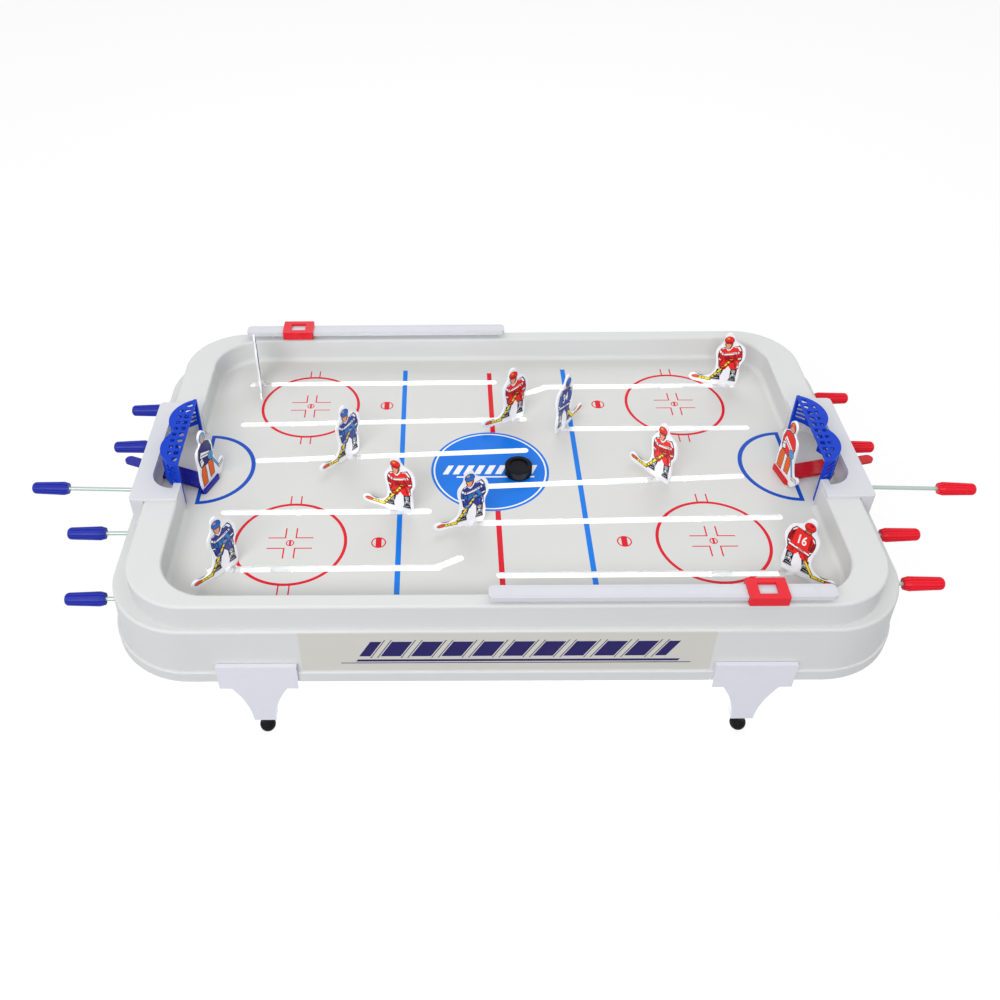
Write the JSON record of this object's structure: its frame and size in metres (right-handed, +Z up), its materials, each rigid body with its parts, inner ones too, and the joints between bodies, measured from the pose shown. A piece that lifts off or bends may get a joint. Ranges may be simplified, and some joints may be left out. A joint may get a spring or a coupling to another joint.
{
  "type": "table hockey game",
  "caption": "Table hockey game: moulded rink on clip-on legs, flat players geared to push-and-twist rods, swinging goalkeepers, nets and score bars.",
  "frame": {"origin": "on the table top, under the middle of the ice", "axes": "+X along the rink, +Y away from the front score bar's side, +Z up"},
  "size_m": [0.9449, 0.4224, 0.205],
  "materials": {
    "shell_plastic": "satin white moulding",
    "trim_plastic": "satin lilac white",
    "carriage_plastic": "matte white",
    "rod_steel": "drawn steel",
    "handle_blue_plastic": "ribbed, satin",
    "handle_red_plastic": "ribbed, satin",
    "lever_blue_plastic": "gloss",
    "lever_red_plastic": "gloss",
    "net_plastic": "gloss",
    "slider_plastic": "gloss",
    "printed_plate": "white plate, printed front",
    "foot_rubber": "matt black",
    "puck_plastic": "matt black"
  },
  "bodies": {
    "rink": {"rink_tray": "shell_plastic", "cross_braces": "shell_plastic", "goal_housing_left": "trim_plastic", "goal_housing_right": "trim_plastic", "goal_net_left": "net_plastic", "goal_net_right": "net_plastic", "score_bar_front": "trim_plastic", "score_bar_back": "trim_plastic", "leg_front_left": "trim_plastic", "leg_front_right": "trim_plastic", "leg_back_left": "trim_plastic", "leg_back_right": "trim_plastic", "rubber_feet": "foot_rubber"},
    "carriage_red_front_wing": {"carriage_red_front_wing": "carriage_plastic"},
    "rod_red_front_wing": {"rod_red_front_wing": "rod_steel", "handle_red_front_wing": "handle_blue_plastic"},
    "figure_red_front_wing": {"figure_red_front_wing": "printed_plate"},
    "carriage_red_back_wing": {"carriage_red_back_wing": "carriage_plastic"},
    "rod_red_back_wing": {"rod_red_back_wing": "rod_steel", "handle_red_back_wing": "handle_blue_plastic"},
    "figure_red_back_wing": {"figure_red_back_wing": "printed_plate"},
    "carriage_red_back_defender": {"carriage_red_back_defender": "carriage_plastic"},
    "rod_red_back_defender": {"rod_red_back_defender": "rod_steel", "handle_red_back_defender": "handle_blue_plastic"},
    "figure_red_back_defender": {"figure_red_back_defender": "printed_plate"},
    "carriage_red_front_defender": {"carriage_red_front_defender": "carriage_plastic"},
    "rod_red_front_defender": {"rod_red_front_defender": "rod_steel", "handle_red_front_defender": "handle_blue_plastic"},
    "figure_red_front_defender": {"figure_red_front_defender": "printed_plate"},
    "carriage_red_centre": {"carriage_red_centre": "carriage_plastic"},
    "rod_red_centre": {"rod_red_centre": "rod_steel", "handle_red_centre": "handle_blue_plastic"},
    "figure_red_centre": {"figure_red_centre": "printed_plate"},
    "carriage_blue_back_wing": {"carriage_blue_back_wing": "carriage_plastic"},
    "rod_blue_back_wing": {"rod_blue_back_wing": "rod_steel", "handle_blue_back_wing": "handle_red_plastic"},
    "figure_blue_back_wing": {"figure_blue_back_wing": "printed_plate"},
    "carriage_blue_front_wing": {"carriage_blue_front_wing": "carriage_plastic"},
    "rod_blue_front_wing": {"rod_blue_front_wing": "rod_steel", "handle_blue_front_wing": "handle_red_plastic"},
    "figure_blue_front_wing": {"figure_blue_front_wing": "printed_plate"},
    "carriage_blue_front_defender": {"carriage_blue_front_defender": "carriage_plastic"},
    "rod_blue_front_defender": {"rod_blue_front_defender": "rod_steel", "handle_blue_front_defender": "handle_red_plastic"},
    "figure_blue_front_defender": {"figure_blue_front_defender": "printed_plate"},
    "carriage_blue_back_defender": {"carriage_blue_back_defender": "carriage_plastic"},
    "rod_blue_back_defender": {"rod_blue_back_defender": "rod_steel", "handle_blue_back_defender": "handle_red_plastic"},
    "figure_blue_back_defender": {"figure_blue_back_defender": "printed_plate"},
    "carriage_blue_centre": {"carriage_blue_centre": "carriage_plastic"},
    "rod_blue_centre": {"rod_blue_centre": "rod_steel", "handle_blue_centre": "handle_red_plastic"},
    "figure_blue_centre": {"figure_blue_centre": "printed_plate"},
    "goalkeeper_left": {"goalie_lever_left": "lever_blue_plastic", "goalie_left": "printed_plate"},
    "goalkeeper_right": {"goalie_lever_right": "lever_red_plastic", "goalie_right": "printed_plate"},
    "score_slider_front": {"score_slider_front": "slider_plastic"},
    "score_slider_back": {"score_slider_back": "slider_plastic"},
    "puck": {"puck": "puck_plastic"}
  },
  "joints": [
    {"name": "red_front_wing_slide", "type": "slide", "parent": "rink", "child": "carriage_red_front_wing", "axis": [1, 0.005, 0], "range_m": [-0.25407, 0.00387]},
    {"name": "red_front_wing_spin", "type": "hinge", "parent": "carriage_red_front_wing", "child": "rod_red_front_wing", "pos_m": [0.25406, -0.14026, 0.11], "axis": [1, 0.005, 0], "continuous": true},
    {"name": "red_front_wing_turn", "type": "hinge", "parent": "carriage_red_front_wing", "child": "figure_red_front_wing", "pos_m": [0.25406, -0.14026, 0.137], "axis": [0, 0, 1], "continuous": true},
    {"name": "red_back_wing_slide", "type": "slide", "parent": "rink", "child": "carriage_red_back_wing", "axis": [1, 0.0056, 0], "range_m": [-0.1919, 0.00594]},
    {"name": "red_back_wing_spin", "type": "hinge", "parent": "carriage_red_back_wing", "child": "rod_red_back_wing", "pos_m": [0.252, 0.13316, 0.11], "axis": [1, 0.0056, 0], "continuous": true},
    {"name": "red_back_wing_turn", "type": "hinge", "parent": "carriage_red_back_wing", "child": "figure_red_back_wing", "pos_m": [0.252, 0.13316, 0.137], "axis": [0, 0, 1], "continuous": true},
    {"name": "red_back_defender_slide", "type": "slide", "parent": "rink", "child": "carriage_red_back_defender", "axis": [0.9998, 0.0214, 0], "range_m": [-0.2781, 0.00801]},
    {"name": "red_back_defender_spin", "type": "hinge", "parent": "carriage_red_back_defender", "child": "rod_red_back_defender", "pos_m": [0.021, 0.07644, 0.11], "axis": [0.9998, 0.0214, 0], "continuous": true},
    {"name": "red_back_defender_turn", "type": "hinge", "parent": "carriage_red_back_defender", "child": "figure_red_back_defender", "pos_m": [0.021, 0.07644, 0.137], "axis": [0, 0, 1], "continuous": true},
    {"name": "red_front_defender_slide", "type": "slide", "parent": "rink", "child": "carriage_red_front_defender", "axis": [1, 0, 0], "range_m": [-0.16396, 0.02257]},
    {"name": "red_front_defender_spin", "type": "hinge", "parent": "carriage_red_front_defender", "child": "rod_red_front_defender", "pos_m": [-0.09248, -0.06047, 0.11], "axis": [1, 0, 0], "continuous": true},
    {"name": "red_front_defender_turn", "type": "hinge", "parent": "carriage_red_front_defender", "child": "figure_red_front_defender", "pos_m": [-0.09248, -0.06047, 0.137], "axis": [0, 0, 1], "continuous": true},
    {"name": "red_centre_slide", "type": "slide", "parent": "rink", "child": "carriage_red_centre", "axis": [0.9987, 0.0509, 0], "range_m": [-0.18426, 0.0771]},
    {"name": "red_centre_spin", "type": "hinge", "parent": "carriage_red_centre", "child": "rod_red_centre", "pos_m": [0.15701, -0.01752, 0.11], "axis": [0.9994, -0.0356, 0], "continuous": true},
    {"name": "red_centre_turn", "type": "hinge", "parent": "carriage_red_centre", "child": "figure_red_centre", "pos_m": [0.15701, -0.01752, 0.137], "axis": [0, 0, 1], "continuous": true},
    {"name": "blue_back_wing_slide", "type": "slide", "parent": "rink", "child": "carriage_blue_back_wing", "axis": [-1, -0.005, 0], "range_m": [-0.25149, 0.00645]},
    {"name": "blue_back_wing_spin", "type": "hinge", "parent": "carriage_blue_back_wing", "child": "rod_blue_back_wing", "pos_m": [-0.25148, 0.14027, 0.11], "axis": [-1, -0.005, 0], "continuous": true},
    {"name": "blue_back_wing_turn", "type": "hinge", "parent": "carriage_blue_back_wing", "child": "figure_blue_back_wing", "pos_m": [-0.25148, 0.14027, 0.137], "axis": [0, 0, 1], "continuous": true},
    {"name": "blue_front_wing_slide", "type": "slide", "parent": "rink", "child": "carriage_blue_front_wing", "axis": [-1, -0.0056, 0], "range_m": [-0.18498, 0.01286]},
    {"name": "blue_front_wing_spin", "type": "hinge", "parent": "carriage_blue_front_wing", "child": "rod_blue_front_wing", "pos_m": [-0.24507, -0.13312, 0.11], "axis": [-1, -0.0056, 0], "continuous": true},
    {"name": "blue_front_wing_turn", "type": "hinge", "parent": "carriage_blue_front_wing", "child": "figure_blue_front_wing", "pos_m": [-0.24507, -0.13312, 0.137], "axis": [0, 0, 1], "continuous": true},
    {"name": "blue_front_defender_slide", "type": "slide", "parent": "rink", "child": "carriage_blue_front_defender", "axis": [-0.9998, -0.0214, 0], "range_m": [-0.28325, 0.00286]},
    {"name": "blue_front_defender_spin", "type": "hinge", "parent": "carriage_blue_front_defender", "child": "rod_blue_front_defender", "pos_m": [-0.02615, -0.07655, 0.11], "axis": [-0.9998, -0.0214, 0], "continuous": true},
    {"name": "blue_front_defender_turn", "type": "hinge", "parent": "carriage_blue_front_defender", "child": "figure_blue_front_defender", "pos_m": [-0.02615, -0.07655, 0.137], "axis": [0, 0, 1], "continuous": true},
    {"name": "blue_back_defender_slide", "type": "slide", "parent": "rink", "child": "carriage_blue_back_defender", "axis": [-1, 0, 0], "range_m": [-0.18653, 0]},
    {"name": "blue_back_defender_spin", "type": "hinge", "parent": "carriage_blue_back_defender", "child": "rod_blue_back_defender", "pos_m": [0.06991, 0.06047, 0.11], "axis": [-1, 0, 0], "continuous": true},
    {"name": "blue_back_defender_turn", "type": "hinge", "parent": "carriage_blue_back_defender", "child": "figure_blue_back_defender", "pos_m": [0.06991, 0.06047, 0.137], "axis": [0, 0, 1], "continuous": true},
    {"name": "blue_centre_slide", "type": "slide", "parent": "rink", "child": "carriage_blue_centre", "axis": [-0.9987, -0.0509, 0], "range_m": [-0.17328, 0.08808]},
    {"name": "blue_centre_spin", "type": "hinge", "parent": "carriage_blue_centre", "child": "rod_blue_centre", "pos_m": [-0.14605, 0.01808, 0.11], "axis": [-0.9993, 0.0375, 0], "continuous": true},
    {"name": "blue_centre_turn", "type": "hinge", "parent": "carriage_blue_centre", "child": "figure_blue_centre", "pos_m": [-0.14605, 0.01808, 0.137], "axis": [0, 0, 1], "continuous": true},
    {"name": "goalkeeper_left_swing", "type": "hinge", "parent": "rink", "child": "goalkeeper_left", "pos_m": [-0.335, 0, 0.137], "axis": [0, 0, 1], "range_deg": [-4, 48]},
    {"name": "goalkeeper_right_swing", "type": "hinge", "parent": "rink", "child": "goalkeeper_right", "pos_m": [0.335, 0, 0.137], "axis": [0, 0, 1], "range_deg": [-39, 13]},
    {"name": "score_slider_front_slide", "type": "slide", "parent": "rink", "child": "score_slider_front", "axis": [1, 0, 0], "range_m": [-0.2115, 0.0405]},
    {"name": "score_slider_back_slide", "type": "slide", "parent": "rink", "child": "score_slider_back", "axis": [-1, 0, 0], "range_m": [-0.2115, 0.0405]},
    {"name": "puck_slide", "type": "slide", "parent": "rink", "child": "puck", "axis": [1, 0, 0], "range_m": [-0.06, 0.1]}
  ],
  "couplings": [
    {"joint": "red_front_wing_turn", "follows": "red_front_wing_spin", "ratio": 1},
    {"joint": "red_back_wing_turn", "follows": "red_back_wing_spin", "ratio": 1},
    {"joint": "red_back_defender_turn", "follows": "red_back_defender_spin", "ratio": 1},
    {"joint": "red_front_defender_turn", "follows": "red_front_defender_spin", "ratio": 1},
    {"joint": "red_centre_turn", "follows": "red_centre_spin", "ratio": 1},
    {"joint": "blue_back_wing_turn", "follows": "blue_back_wing_spin", "ratio": 1},
    {"joint": "blue_front_wing_turn", "follows": "blue_front_wing_spin", "ratio": 1},
    {"joint": "blue_front_defender_turn", "follows": "blue_front_defender_spin", "ratio": 1},
    {"joint": "blue_back_defender_turn", "follows": "blue_back_defender_spin", "ratio": 1},
    {"joint": "blue_centre_turn", "follows": "blue_centre_spin", "ratio": 1}
  ]
}
